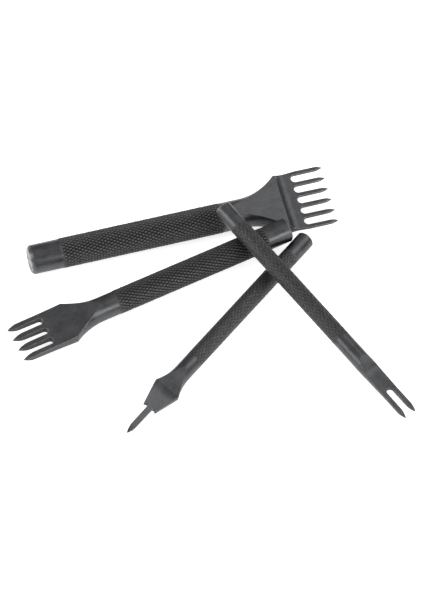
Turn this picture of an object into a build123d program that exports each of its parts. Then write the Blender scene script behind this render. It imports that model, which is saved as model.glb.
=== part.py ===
from build123d import *
import os
from dataclasses import dataclass

# A set of four pricking irons, lying on a bench the way they were put down.
# Each iron is one piece of tool steel: a round bar with a knurled grip, turned
# to a trumpet flare, milled flat on both faces, stepped down to a thin tooth
# plate, slotted into teeth and ground to points.
#
# Every iron is first made along its own axis: X runs from the struck butt face
# to the tips, Y runs across the teeth, Z is the normal of the tooth plate.
# All lengths are millimetres, all angles degrees.

PITCH = 4.0  # distance from tooth to tooth, the same on all four irons
KNURL_DEPTH = 0.36  # crest to groove; the grip is drawn at the bottom of the grooves
POINT = 0.10  # a ground point ends this wide
EDGE_BREAK = 0.18  # sharp ends of the knurled stretch are eased this much


@dataclass
class Iron:
    teeth: int
    length: float
    bar: float  # diameter of the plain bar
    butt_chamfer: float
    knurl_start: float  # from the butt face
    knurl_end: float  # this and the rest are measured back from the tips
    flat_start: float  # the two milled flats start here
    flare_start: float  # the trumpet starts here
    shoulder: float  # the corners of the head, where the trumpet ends
    step_start: float  # the flats end and the step down to the plate starts
    plate_start: float  # the step ends and the thin plate starts
    plate_end: float  # the plate's outer corners, or the last of its taper
    slot_root: float
    tip: float  # length of the ground point
    soft_step: bool  # eased at both ends, or hollow with a crisp start
    shoulder_width: float  # across the corners, the trumpet's rim
    head_thickness: float  # at step_start
    plate_width: float  # across the plate's rounded edges, at plate_end
    plate_thickness: float  # at plate_start
    root_thickness: float  # at the slot roots
    tooth_thickness: float  # where the ground point starts
    tooth_width: float
    slot_width: float
    slot_centres: tuple
    butt: tuple  # place of the centre of the butt face on the bench
    heading: float  # direction of the tips, seen from above
    dip: float  # how far the tips point down
    roll: float  # turn about the bar, positive raises the +Y edge


def between_teeth(teeth):
    """Centre lines of the slots between a number of teeth."""
    return tuple(PITCH * (k - (teeth - 2) / 2) for k in range(teeth - 1))


SIX = Iron(
    teeth=6, length=102.0, bar=9.7, butt_chamfer=0.8,
    knurl_start=10.5, knurl_end=37.3, flat_start=34.6, flare_start=30.3,
    shoulder=17.15, step_start=16.4, plate_start=13.0, plate_end=9.5,
    slot_root=11.1, tip=2.7, soft_step=False,
    shoulder_width=19.9, head_thickness=5.2, plate_width=21.1,
    plate_thickness=1.5, root_thickness=1.3, tooth_thickness=1.1,
    tooth_width=1.2, slot_width=2.8, slot_centres=between_teeth(6),
    butt=(-59.4, 12.6, 4.95), heading=16.0, dip=0.0, roll=12.5,
)
FOUR = Iron(
    teeth=4, length=99.1, bar=7.9, butt_chamfer=0.5,
    knurl_start=8.5, knurl_end=36.4, flat_start=30.1, flare_start=30.6,
    shoulder=19.4, step_start=19.4, plate_start=15.4, plate_end=10.4,
    slot_root=11.7, tip=4.3, soft_step=True,
    shoulder_width=13.9, head_thickness=3.8, plate_width=13.7,
    plate_thickness=3.0, root_thickness=2.6, tooth_thickness=2.2,
    tooth_width=1.7, slot_width=2.3, slot_centres=between_teeth(4),
    butt=(24.76, 24.1, 6.8), heading=207.2, dip=2.28, roll=-8.2,
)
TWO = Iron(
    teeth=2, length=95.8, bar=5.9, butt_chamfer=0.4,
    knurl_start=8.8, knurl_end=34.8, flat_start=25.0, flare_start=26.6,
    shoulder=23.2, step_start=21.2, plate_start=17.8, plate_end=10.6,
    slot_root=11.5, tip=3.7, soft_step=False,
    shoulder_width=6.0, head_thickness=3.0, plate_width=5.4,
    plate_thickness=1.3, root_thickness=1.1, tooth_thickness=0.9,
    tooth_width=1.6, slot_width=2.4, slot_centres=between_teeth(2),
    butt=(3.4, 25.54, 15.85), heading=309.5, dip=9.32, roll=1.5,
)
ONE = Iron(
    teeth=1, length=98.6, bar=5.9, butt_chamfer=0.4,
    knurl_start=9.4, knurl_end=36.0, flat_start=30.6, flare_start=30.0,
    shoulder=21.4, step_start=21.4, plate_start=18.2, plate_end=12.3,
    slot_root=12.65, tip=3.8, soft_step=False,
    shoulder_width=9.6, head_thickness=2.9, plate_width=5.1,
    plate_thickness=1.6, root_thickness=1.4, tooth_thickness=1.2,
    tooth_width=2.0, slot_width=1.0, slot_centres=(-1.5, 1.5),
    butt=(30.72, 23.2, 2.95), heading=234.1, dip=0.0, roll=-18.1,
)


def turned_blank(iron):
    """The round bar, its relieved grip, the trumpet and the head, turned about X."""
    radius = iron.bar / 2
    grip = radius - KNURL_DEPTH / 2
    grip_end = iron.length - iron.knurl_end
    flare = iron.length - iron.flare_start
    shoulder = iron.length - iron.shoulder
    outer_tooth = PITCH * (iron.teeth - 1) / 2 + iron.tooth_width / 2
    widest = max(iron.plate_width / 2, outer_tooth)
    turned = Polyline(
        (0, 0),
        (0, radius - iron.butt_chamfer),
        (iron.butt_chamfer, radius),
        (iron.knurl_start - EDGE_BREAK, radius),
        (iron.knurl_start, grip),
        (grip_end, grip),
        (grip_end + EDGE_BREAK, radius),
        (flare, radius),
    )
    trumpet = TangentArc((flare, radius), (shoulder, iron.shoulder_width / 2), tangent=(1, 0))
    head = Polyline(
        (shoulder, iron.shoulder_width / 2),
        (iron.length - iron.plate_end, widest),
        (iron.length + 1, widest),
        (iron.length + 1, 0),
        (0, 0),
    )
    return revolve(make_face([turned, trumpet, head]), Axis.X)


def step(iron):
    """The step from the flats down to the thin plate, seen along Y."""
    top = (iron.length - iron.step_start, iron.head_thickness / 2)
    foot = (iron.length - iron.plate_start, iron.plate_thickness / 2)
    if iron.soft_step:
        return Spline(top, foot, tangents=[(1, -0.1), (1, -0.1)])
    return TangentArc(foot, top, tangent=(-1, 0))


def side_slab(iron):
    """All that lies between the two faces of the head, seen along Y."""
    clear = iron.bar
    flat = iron.length - iron.flat_start
    top = (iron.length - iron.step_start, iron.head_thickness / 2)
    foot = (iron.length - iron.plate_start, iron.plate_thickness / 2)
    root = (iron.length - iron.slot_root, iron.root_thickness / 2)
    point = (iron.length - iron.tip, iron.tooth_thickness / 2)
    end = (iron.length, POINT / 2)
    upper = [
        Polyline((-1, 0), (-1, clear), (flat, clear), (flat, iron.bar / 2), top),
        step(iron),
        Polyline(foot, root, point),
        TangentArc(point, end, tangent=(1, 0)),
        Polyline(end, (iron.length, 0), (-1, 0)),
    ]
    half = make_face(upper)
    both = half + mirror(half, Plane.XZ)
    return extrude(Plane.XZ * both, iron.shoulder_width + PITCH, both=True)


def tooth(iron, y):
    """Outline of one tooth with its rounded point, seen from above."""
    half = iron.tooth_width / 2
    back = iron.length - iron.slot_root - half
    point = iron.length - iron.tip
    sides = [
        Polyline((point, half), (back, half), (back, -half), (point, -half)),
        TangentArc((point, half), (iron.length, POINT / 2), tangent=(1, 0)),
        TangentArc((point, -half), (iron.length, -POINT / 2), tangent=(1, 0)),
        Line((iron.length, POINT / 2), (iron.length, -POINT / 2)),
    ]
    return Pos(0, y) * make_face(sides)


def slot(iron, y):
    """Outline of one slot with its round root, open towards the tips."""
    radius = iron.slot_width / 2
    centre = iron.length - iron.slot_root + radius
    run = iron.length + 1 - centre
    straight = Pos(centre + run / 2, y) * Rectangle(run, iron.slot_width)
    return Pos(centre, y) * Circle(radius) + straight


def plan_slab(iron):
    """The bar and plate with slots cut in and teeth left standing, seen along Z."""
    run = iron.length - iron.plate_end + 1
    plan = Pos(run / 2 - 1, 0) * Rectangle(run, iron.shoulder_width + PITCH)
    for y in iron.slot_centres:
        plan -= slot(iron, y)
    for k in range(iron.teeth):
        plan += tooth(iron, PITCH * (k - (iron.teeth - 1) / 2))
    return extrude(plan, iron.bar, both=True)


def make_iron(iron):
    """One iron along its own axis, butt face at the origin."""
    return turned_blank(iron) & side_slab(iron) & plan_slab(iron)


def lay_down(iron, solid):
    """Turn a finished iron to the way it lies on the bench."""
    place = Location(iron.butt, (0, 0, iron.heading))
    return place * Rot(0, iron.dip, 0) * Rot(iron.roll, 0, 0) * solid


IRONS = {
    "six_tooth_iron": SIX,
    "four_tooth_iron": FOUR,
    "two_tooth_iron": TWO,
    "one_tooth_iron": ONE,
}

lying = {name: lay_down(iron, make_iron(iron)) for name, iron in IRONS.items()}

# The set's origin is on the bench, under the middle of the box around it.
box = Compound(list(lying.values())).bounding_box()
middle = box.center()
to_origin = Pos(-middle.X, -middle.Y, -box.min.Z)

os.makedirs("parts", exist_ok=True)
for name, solid in lying.items():
    export_step(to_origin * solid, f"parts/{name}.step")
print("middle of the set on the bench", middle, box.min.Z)
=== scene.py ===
import math
from dataclasses import dataclass
from random import Random

import bpy
from mathutils import Matrix, Vector


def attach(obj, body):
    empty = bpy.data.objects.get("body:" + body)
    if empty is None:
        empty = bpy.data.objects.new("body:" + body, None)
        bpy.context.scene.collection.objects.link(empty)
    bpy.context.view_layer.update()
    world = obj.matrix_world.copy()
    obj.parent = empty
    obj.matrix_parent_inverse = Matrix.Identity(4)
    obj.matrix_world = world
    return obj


# Looks for a set of four black-oxide pricking irons lying crossed on a bench.
# The imported CAD irons keep their shapes and get a worn black-oxide finish with painted
# shade in hollows, and each grip gets a sleeve of real diamond knurling with painted
# shade in its grooves. Lengths are metres.

MM = 0.001
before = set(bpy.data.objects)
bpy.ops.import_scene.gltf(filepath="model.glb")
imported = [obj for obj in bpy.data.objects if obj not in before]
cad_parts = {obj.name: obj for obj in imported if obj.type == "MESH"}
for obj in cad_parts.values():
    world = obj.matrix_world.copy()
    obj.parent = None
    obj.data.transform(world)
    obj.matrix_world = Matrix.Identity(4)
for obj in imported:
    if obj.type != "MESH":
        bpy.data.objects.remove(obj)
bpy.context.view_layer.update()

# ---------------------------------------------------------------- dimensions

# From the bench's own origin to the set's, which is under the middle of its
# box. Irons are placed, and the camera is aimed, from the bench's origin.
SHIFT = Vector((0.478876, 3.22252, 0.003684)) * MM

CAMERA_LIFT = 51.14  # degrees above the bench
CAMERA_AWAY = 2.01
CAMERA_LENS = 371.6  # a long lens, in mm on a 36 mm sensor


@dataclass
class Iron:
    """One iron in millimetres and degrees: its bar, how it lies, its knurl."""

    length: float
    bar: float  # diameter
    knurl: tuple  # knurled stretch, from the butt and back from the tips
    butt: tuple  # centre of the butt face on the bench
    heading: float  # direction of the tips, seen from above
    dip: float  # how far the tips point down
    roll: float  # turn about the bar
    diamonds: int  # around the bar
    height: float  # of a diamond over its grooves
    depth: float  # of the grooves under the plain bar
    bevels: tuple  # widths of a diamond's two pairs of sides, as shares
    groove: float  # how light the grooves are painted, a painted shade in them
    side: float  # how light the diamonds' sides are
    rubbed: float  # how far the tops are rubbed bare
    mottle: float  # how uneven the finish is


IRONS = {
    "six_tooth_iron": Iron(
        length=102.0, bar=9.7, knurl=(10.5, 37.3),
        butt=(-59.4, 12.6, 4.95), heading=16.0, dip=0.0, roll=12.5,
        diamonds=27, height=0.30, depth=0.17, bevels=(0.24, 0.30),
        groove=0.020, side=0.112, rubbed=0.65, mottle=0.17,
    ),
    "four_tooth_iron": Iron(
        length=99.1, bar=7.9, knurl=(8.5, 36.4),
        butt=(24.76, 24.1, 6.8), heading=207.2, dip=2.28, roll=-8.2,
        diamonds=22, height=0.30, depth=0.17, bevels=(0.16, 0.36),
        groove=0.014, side=0.108, rubbed=0.60, mottle=0.17,
    ),
    "two_tooth_iron": Iron(
        length=95.8, bar=5.9, knurl=(8.8, 34.8),
        butt=(3.4, 25.54, 15.85), heading=309.5, dip=9.32, roll=1.5,
        diamonds=15, height=0.09, depth=0.07, bevels=(0.34, 0.36),
        groove=0.040, side=0.078, rubbed=0.10, mottle=0.45,
    ),
    "one_tooth_iron": Iron(
        length=98.6, bar=5.9, knurl=(9.4, 36.0),
        butt=(30.72, 23.2, 2.95), heading=234.1, dip=0.0, roll=-18.1,
        diamonds=15, height=0.09, depth=0.07, bevels=(0.34, 0.36),
        groove=0.046, side=0.090, rubbed=0.10, mottle=0.45,
    ),
}

KNURL_PER_M = 0.51 / MM  # diamonds per metre along the bar
EDGE_BREAK = 0.18 * MM  # eased end of the relieved grip, hidden by the sleeve
SKIN = 0.01 * MM  # the sleeve's ends stand this far off the plain bar
FADE = 0.9 * MM  # the knurl runs out over this length at both ends
FADED = 0.5  # where it has run out, it is coloured like a middle height
SHOULDER = 0.80  # height where a diamond's steep sides meet its rubbed top
TOP = 1.5  # the flat top starts this many bevel widths in
LEAST_CREST = 0.84  # the most worn diamond, as a share of a full one


def lie(iron):
    """Matrix that takes the iron's own axes to the bench: X along the bar."""
    place = Matrix.Translation(Vector(iron.butt) * MM + SHIFT)
    turn = Matrix.Rotation(math.radians(iron.heading), 4, "Z")
    tip = Matrix.Rotation(math.radians(iron.dip), 4, "Y")
    roll = Matrix.Rotation(math.radians(iron.roll), 4, "X")
    return place @ turn @ tip @ roll


# ------------------------------------------------------------------- knurling


def knurl_sleeve(name, iron):
    """A sleeve of knurling: rows of low four-sided pyramids with worn tops."""
    count = iron.diamonds
    height = iron.height * MM
    depth = iron.depth * MM
    start = iron.knurl[0] * MM - EDGE_BREAK
    end = (iron.length - iron.knurl[1]) * MM + EDGE_BREAK
    plain = iron.bar / 2 * MM + SKIN
    wear = Random(name)
    verts, faces, crest, corner = [], [], [], {}

    def add(i, j, rise):
        """A vertex at lattice place (i, j); rise 0 is a groove, 1 a crest."""
        x = min(max(start + (i - j) / (2 * KNURL_PER_M), start), end)
        angle = math.pi * (i + j) / count
        run_out = min(1.0, (x - start) / FADE, (end - x) / FADE)
        radius = plain + run_out * (height * rise - depth)
        verts.append((x, radius * math.cos(angle), radius * math.sin(angle)))
        crest.append(rise * run_out + FADED * (1 - run_out))
        return len(verts) - 1

    def groove(i, j):
        """The shared vertex where two grooves cross."""
        key = (i - j, (i + j) % (2 * count))
        if key not in corner:
            corner[key] = add(i, j, 0.0)
        return corner[key]

    def ring(i, j, share, rise):
        """Four vertices on a diamond's sides, in from its grooves."""
        a, b = (share * width for width in iron.bevels)
        places = ((a, b), (1 - a, b), (1 - a, 1 - b), (a, 1 - b))
        return [add(i + u, j + v, rise) for u, v in places]

    rows = math.ceil((end - start) * 2 * KNURL_PER_M) + 1
    for row in range(-1, rows + 1):
        for step in range(count):
            i, j = row + step, step
            worn = wear.uniform(LEAST_CREST, 1.0)
            rings = [
                [groove(i, j), groove(i + 1, j), groove(i + 1, j + 1), groove(i, j + 1)],
                ring(i, j, 1.0, SHOULDER * worn),
                ring(i, j, TOP, worn),
            ]
            for low, high in zip(rings, rings[1:]):
                for k in range(4):
                    n = (k + 1) % 4
                    faces.append((low[k], low[n], high[n], high[k]))
            faces.append(tuple(rings[-1]))
    mesh = bpy.data.meshes.new(name)
    mesh.from_pydata(verts, [], faces)
    layer = mesh.attributes.new("crest", "FLOAT", "POINT")
    layer.data.foreach_set("value", crest)
    mesh.transform(lie(iron))
    piece = bpy.data.objects.new(name, mesh)
    bpy.context.scene.collection.objects.link(piece)
    return piece


# ------------------------------------------------------------------ materials


OXIDE_DARK = (0.058, 0.059, 0.062, 1.0)
OXIDE_LIGHT = (0.084, 0.085, 0.089, 1.0)
OXIDE_RUBBED = (0.112, 0.113, 0.118, 1.0)
KNURL_TOP = (0.200, 0.201, 0.208, 1.0)
BARE_STEEL = (0.34, 0.34, 0.35, 1.0)

EDGE_WEAR = 0.30 * MM  # edges are rubbed bare about this wide
EDGE_BARE = 0.75  # how bare the edges are
BUTT_WEAR = (0.45 * MM, 0.05 * MM)  # the struck face's wear starts, is full
SCUFFS = (0.05, 0.85)  # least and most of the struck face's wear
PAINTED_SHADE_REACH = 6.0 * MM  # painted shade darkens the colour in hollows and near contacts over this reach


class Shader:
    """A few short ways to add nodes to one material."""

    def __init__(self, name):
        """A new material with its surface node ready."""
        self.material = bpy.data.materials.new(name)
        self.material.use_nodes = True
        self.tree = self.material.node_tree
        self.surface = self.tree.nodes["Principled BSDF"]

    def feed(self, socket, value):
        """Plug a node's output or a constant into an input."""
        if isinstance(value, bpy.types.NodeSocket):
            self.tree.links.new(value, socket)
        else:
            socket.default_value = value

    def node(self, kind, **inputs):
        """A new node with its inputs fed by name."""
        made = self.tree.nodes.new(kind)
        for key, value in inputs.items():
            self.feed(made.inputs[key], value)
        return made

    def combine(self, kind, a, b, clamp=False):
        """Two numbers put together: kind is the operation."""
        made = self.tree.nodes.new("ShaderNodeMath")
        made.operation = kind
        made.use_clamp = clamp
        self.feed(made.inputs[0], a)
        self.feed(made.inputs[1], b)
        return made.outputs[0]

    def between(self, value, low, high, out_low=0.0, out_high=1.0):
        """Map a value's range low..high smoothly to out_low..out_high."""
        made = self.tree.nodes.new("ShaderNodeMapRange")
        made.interpolation_type = "SMOOTHSTEP"
        for k, v in enumerate((value, low, high, out_low, out_high)):
            self.feed(made.inputs[k], v)
        return made.outputs[0]

    def shade(self, reach, low, high, darkest):
        """Painted shade: colour darkened in hollows and where pieces nearly touch, from
        ambient occlusion.
        """
        made = self.node("ShaderNodeAmbientOcclusion", Distance=reach)
        made.samples = 8
        return self.between(made.outputs["AO"], low, high, darkest, 1.0)

    def darken(self, colour, light):
        """Scale a colour by the painted shade on it."""
        made = self.tree.nodes.new("ShaderNodeVectorMath")
        made.operation = "SCALE"
        self.feed(made.inputs[0], colour)
        self.feed(made.inputs["Scale"], light)
        return made.outputs[0]

    def noise(self, place, scale, stretch=(1, 1, 1), detail=3.0, rough=0.55):
        """Noise in the iron's own axes, scale in features per metre."""
        spread = self.node("ShaderNodeMapping", Vector=place, Scale=stretch)
        made = self.node(
            "ShaderNodeTexNoise",
            Vector=spread.outputs[0], Scale=scale, Detail=detail, Roughness=rough,
        )
        return made.outputs["Fac"]

    def blend(self, share, a, b):
        """From colour a to colour b."""
        made = self.tree.nodes.new("ShaderNodeMix")
        made.data_type = "RGBA"
        self.feed(made.inputs[0], share)
        self.feed(made.inputs[6], a)
        self.feed(made.inputs[7], b)
        return made.outputs[2]


def own_axes(shader, iron):
    """Coordinates along, across and out of the iron, from its butt face."""
    place, turn, _ = lie(iron).decompose()
    coord = shader.tree.nodes.new("ShaderNodeTexCoord")
    mapping = shader.tree.nodes.new("ShaderNodeMapping")
    mapping.vector_type = "TEXTURE"
    mapping.inputs["Location"].default_value = place
    mapping.inputs["Rotation"].default_value = turn.to_euler()
    shader.tree.links.new(coord.outputs["Object"], mapping.inputs["Vector"])
    return mapping.outputs[0]


def black_oxide(name, iron):
    """Satin black oxide: cloudy, finely ground, rubbed lighter on its edges, with painted
    shade in hollows.
    """
    shader = Shader(name)
    place = own_axes(shader, iron)
    cloud = shader.noise(place, 260.0, detail=4.0)
    grain = shader.noise(place, 1500.0, stretch=(0.35, 1.6, 1.0), detail=2.0)
    speck = shader.noise(place, 2600.0, detail=1.0)

    bevel = shader.node("ShaderNodeBevel", Radius=EDGE_WEAR)
    bevel.samples = 6
    facing = shader.node("ShaderNodeNewGeometry")
    close = shader.tree.nodes.new("ShaderNodeVectorMath")
    close.operation = "DOT_PRODUCT"
    shader.feed(close.inputs[0], bevel.outputs[0])
    shader.feed(close.inputs[1], facing.outputs["Normal"])
    edge = shader.between(close.outputs["Value"], 0.99, 0.90)
    patchy = shader.between(speck, 0.30, 0.55, 0.35, 1.0)
    edge = shader.combine("MULTIPLY", edge, patchy)

    split = shader.node("ShaderNodeSeparateXYZ", Vector=place)
    butt = shader.between(split.outputs["X"], *BUTT_WEAR)
    blotch = shader.noise(place, 420.0, detail=4.0)
    scuffed = shader.between(blotch, 0.42, 0.60, *SCUFFS)
    butt = shader.combine("MULTIPLY", butt, scuffed)
    edge = shader.combine("MULTIPLY", edge, EDGE_BARE)
    worn = shader.combine("MAXIMUM", edge, butt, clamp=True)

    oxide = shader.blend(shader.between(cloud, 0.32, 0.68), OXIDE_DARK, OXIDE_LIGHT)
    ground = shader.between(grain, 0.35, 0.65, 0.0, 0.35)
    oxide = shader.blend(ground, oxide, OXIDE_RUBBED)
    colour = shader.blend(worn, oxide, BARE_STEEL)
    # painted shade: the oxide colour is darkened in hollows and near contacts
    colour = shader.darken(colour, shader.shade(PAINTED_SHADE_REACH, 0.25, 0.92, 0.16))
    shader.feed(shader.surface.inputs["Base Color"], colour)
    shader.feed(shader.surface.inputs["Metallic"], 0.9)
    rough = shader.between(cloud, 0.3, 0.7, 0.33, 0.41)
    shader.feed(shader.surface.inputs["Roughness"], rough)
    relief = shader.node(
        "ShaderNodeBump",
        Height=shader.combine("ADD", grain, speck), Distance=0.012 * MM, Strength=0.5,
        Normal=bevel.outputs[0],
    )
    shader.feed(shader.surface.inputs["Normal"], relief.outputs[0])
    return shader.material


def knurled_oxide(name, iron):
    """The same oxide on knurling: matt, rubbed on top, with painted shade in its grooves
    and hollows.
    """
    shader = Shader(name)
    place = own_axes(shader, iron)
    crest = shader.tree.nodes.new("ShaderNodeAttribute")
    crest.attribute_name = "crest"
    cloud = shader.noise(place, 300.0, detail=3.0)
    speck = shader.noise(place, 2200.0, detail=2.0)
    mottle = shader.between(speck, 0.3, 0.7, -iron.mottle, iron.mottle)
    level = shader.combine("ADD", crest.outputs["Fac"], mottle)
    groove = (iron.groove, iron.groove, iron.groove, 1.0)
    side = (iron.side, iron.side, iron.side, 1.0)
    # painted shade: grooves coloured darker than the diamonds' sides, by crest height
    colour = shader.blend(shader.between(level, 0.05, 0.75), groove, side)
    top = shader.between(level, 0.82, 1.05, 0.0, iron.rubbed)
    patchy = shader.between(cloud, 0.35, 0.65, 0.3, 1.0)
    top = shader.combine("MULTIPLY", top, patchy)
    colour = shader.blend(top, colour, KNURL_TOP)
    # painted shade: the colour is darkened in hollows and near contacts
    colour = shader.darken(colour, shader.shade(PAINTED_SHADE_REACH, 0.10, 0.80, 0.30))
    shader.feed(shader.surface.inputs["Base Color"], colour)
    shader.feed(shader.surface.inputs["Metallic"], 0.8)
    rough = shader.between(cloud, 0.3, 0.7, 0.46, 0.58)
    shader.feed(shader.surface.inputs["Roughness"], rough)
    relief = shader.node("ShaderNodeBump", Height=speck, Distance=0.02 * MM, Strength=0.6)
    shader.feed(shader.surface.inputs["Normal"], relief.outputs[0])
    return shader.material


# -------------------------------------------------------------------- stage

FLOOR_HALF = 8.0
FLOOR_GLOW = 0.80
ROOM_LOW = (0.26, 0.26, 0.27, 1)
ROOM_HIGH = (0.69, 0.69, 0.70, 1)

# Softboxes: azimuth and lift in degrees, distance, side length, watts.
SOFTBOXES = {
    "right": (-42.0, 25.0, 1.3, 0.55, 6.0),
    "left": (188.0, 27.0, 1.3, 0.70, 7.5),
    "back": (22.0, 50.0, 1.5, 0.95, 5.5),
}


def floor():
    """A white light table: it glows, so the irons throw almost no shadow."""
    mesh = bpy.data.meshes.new("floor")
    signs = ((-1, -1), (1, -1), (1, 1), (-1, 1))
    corners = [(x * FLOOR_HALF, y * FLOOR_HALF, 0) for x, y in signs]
    mesh.from_pydata(corners, [], [(0, 1, 2, 3)])
    piece = bpy.data.objects.new("floor", mesh)
    bpy.context.scene.collection.objects.link(piece)
    shader = Shader("light_table")
    shader.feed(shader.surface.inputs["Base Color"], (0.8, 0.8, 0.8, 1.0))
    shader.feed(shader.surface.inputs["Roughness"], 0.9)
    shader.feed(shader.surface.inputs["Emission Color"], (1.0, 1.0, 1.0, 1.0))
    shader.feed(shader.surface.inputs["Emission Strength"], FLOOR_GLOW)
    mesh.materials.append(shader.material)


def softbox(name, azimuth, lift, away, size, power):
    """A square softbox that looks at the middle of the set."""
    light = bpy.data.lights.new(name, "AREA")
    light.size = size
    light.energy = power
    holder = bpy.data.objects.new(name, light)
    flat = away * math.cos(math.radians(lift))
    holder.location = (
        flat * math.cos(math.radians(azimuth)),
        flat * math.sin(math.radians(azimuth)),
        away * math.sin(math.radians(lift)),
    )
    holder.rotation_euler = (-holder.location).to_track_quat("-Z", "Y").to_euler()
    bpy.context.scene.collection.objects.link(holder)


def studio():
    """An even grey room, lighter overhead, behind the softboxes."""
    world = bpy.data.worlds.new("studio")
    world.use_nodes = True
    tree = world.node_tree
    background = tree.nodes["Background"]
    coord = tree.nodes.new("ShaderNodeTexCoord")
    split = tree.nodes.new("ShaderNodeSeparateXYZ")
    ramp = tree.nodes.new("ShaderNodeValToRGB")
    tree.links.new(coord.outputs["Generated"], split.inputs[0])
    tree.links.new(split.outputs["Z"], ramp.inputs[0])
    tree.links.new(ramp.outputs[0], background.inputs["Color"])
    low, high = ramp.color_ramp.elements
    low.position, low.color = 0.05, ROOM_LOW
    high.position, high.color = 0.95, ROOM_HIGH
    background.inputs["Strength"].default_value = 1.0
    bpy.context.scene.world = world


def camera():
    """A long lens that looks down at the bench's origin from in front."""
    lift = math.radians(CAMERA_LIFT)
    data = bpy.data.cameras.new("camera")
    data.sensor_width = 36.0
    data.lens = CAMERA_LENS
    data.clip_end = 30.0
    holder = bpy.data.objects.new("camera", data)
    toward = Vector((0, -math.cos(lift), math.sin(lift)))
    holder.location = SHIFT + toward * CAMERA_AWAY
    holder.rotation_euler = (math.pi / 2 - lift, 0, 0)
    bpy.context.scene.collection.objects.link(holder)
    bpy.context.scene.camera = holder


# ------------------------------------------------------------------- assembly

camera()
floor()
studio()
for name, place in SOFTBOXES.items():
    softbox(name, *place)
bpy.context.scene.view_settings.view_transform = "Standard"

for name, iron in IRONS.items():
    finish = black_oxide(f"{name}_oxide", iron)
    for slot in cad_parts[name].material_slots:
        slot.material = finish
    sleeve = knurl_sleeve(name.replace("iron", "knurl"), iron)
    sleeve.data.materials.append(knurled_oxide(f"{name}_knurl_oxide", iron))
    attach(sleeve, name)
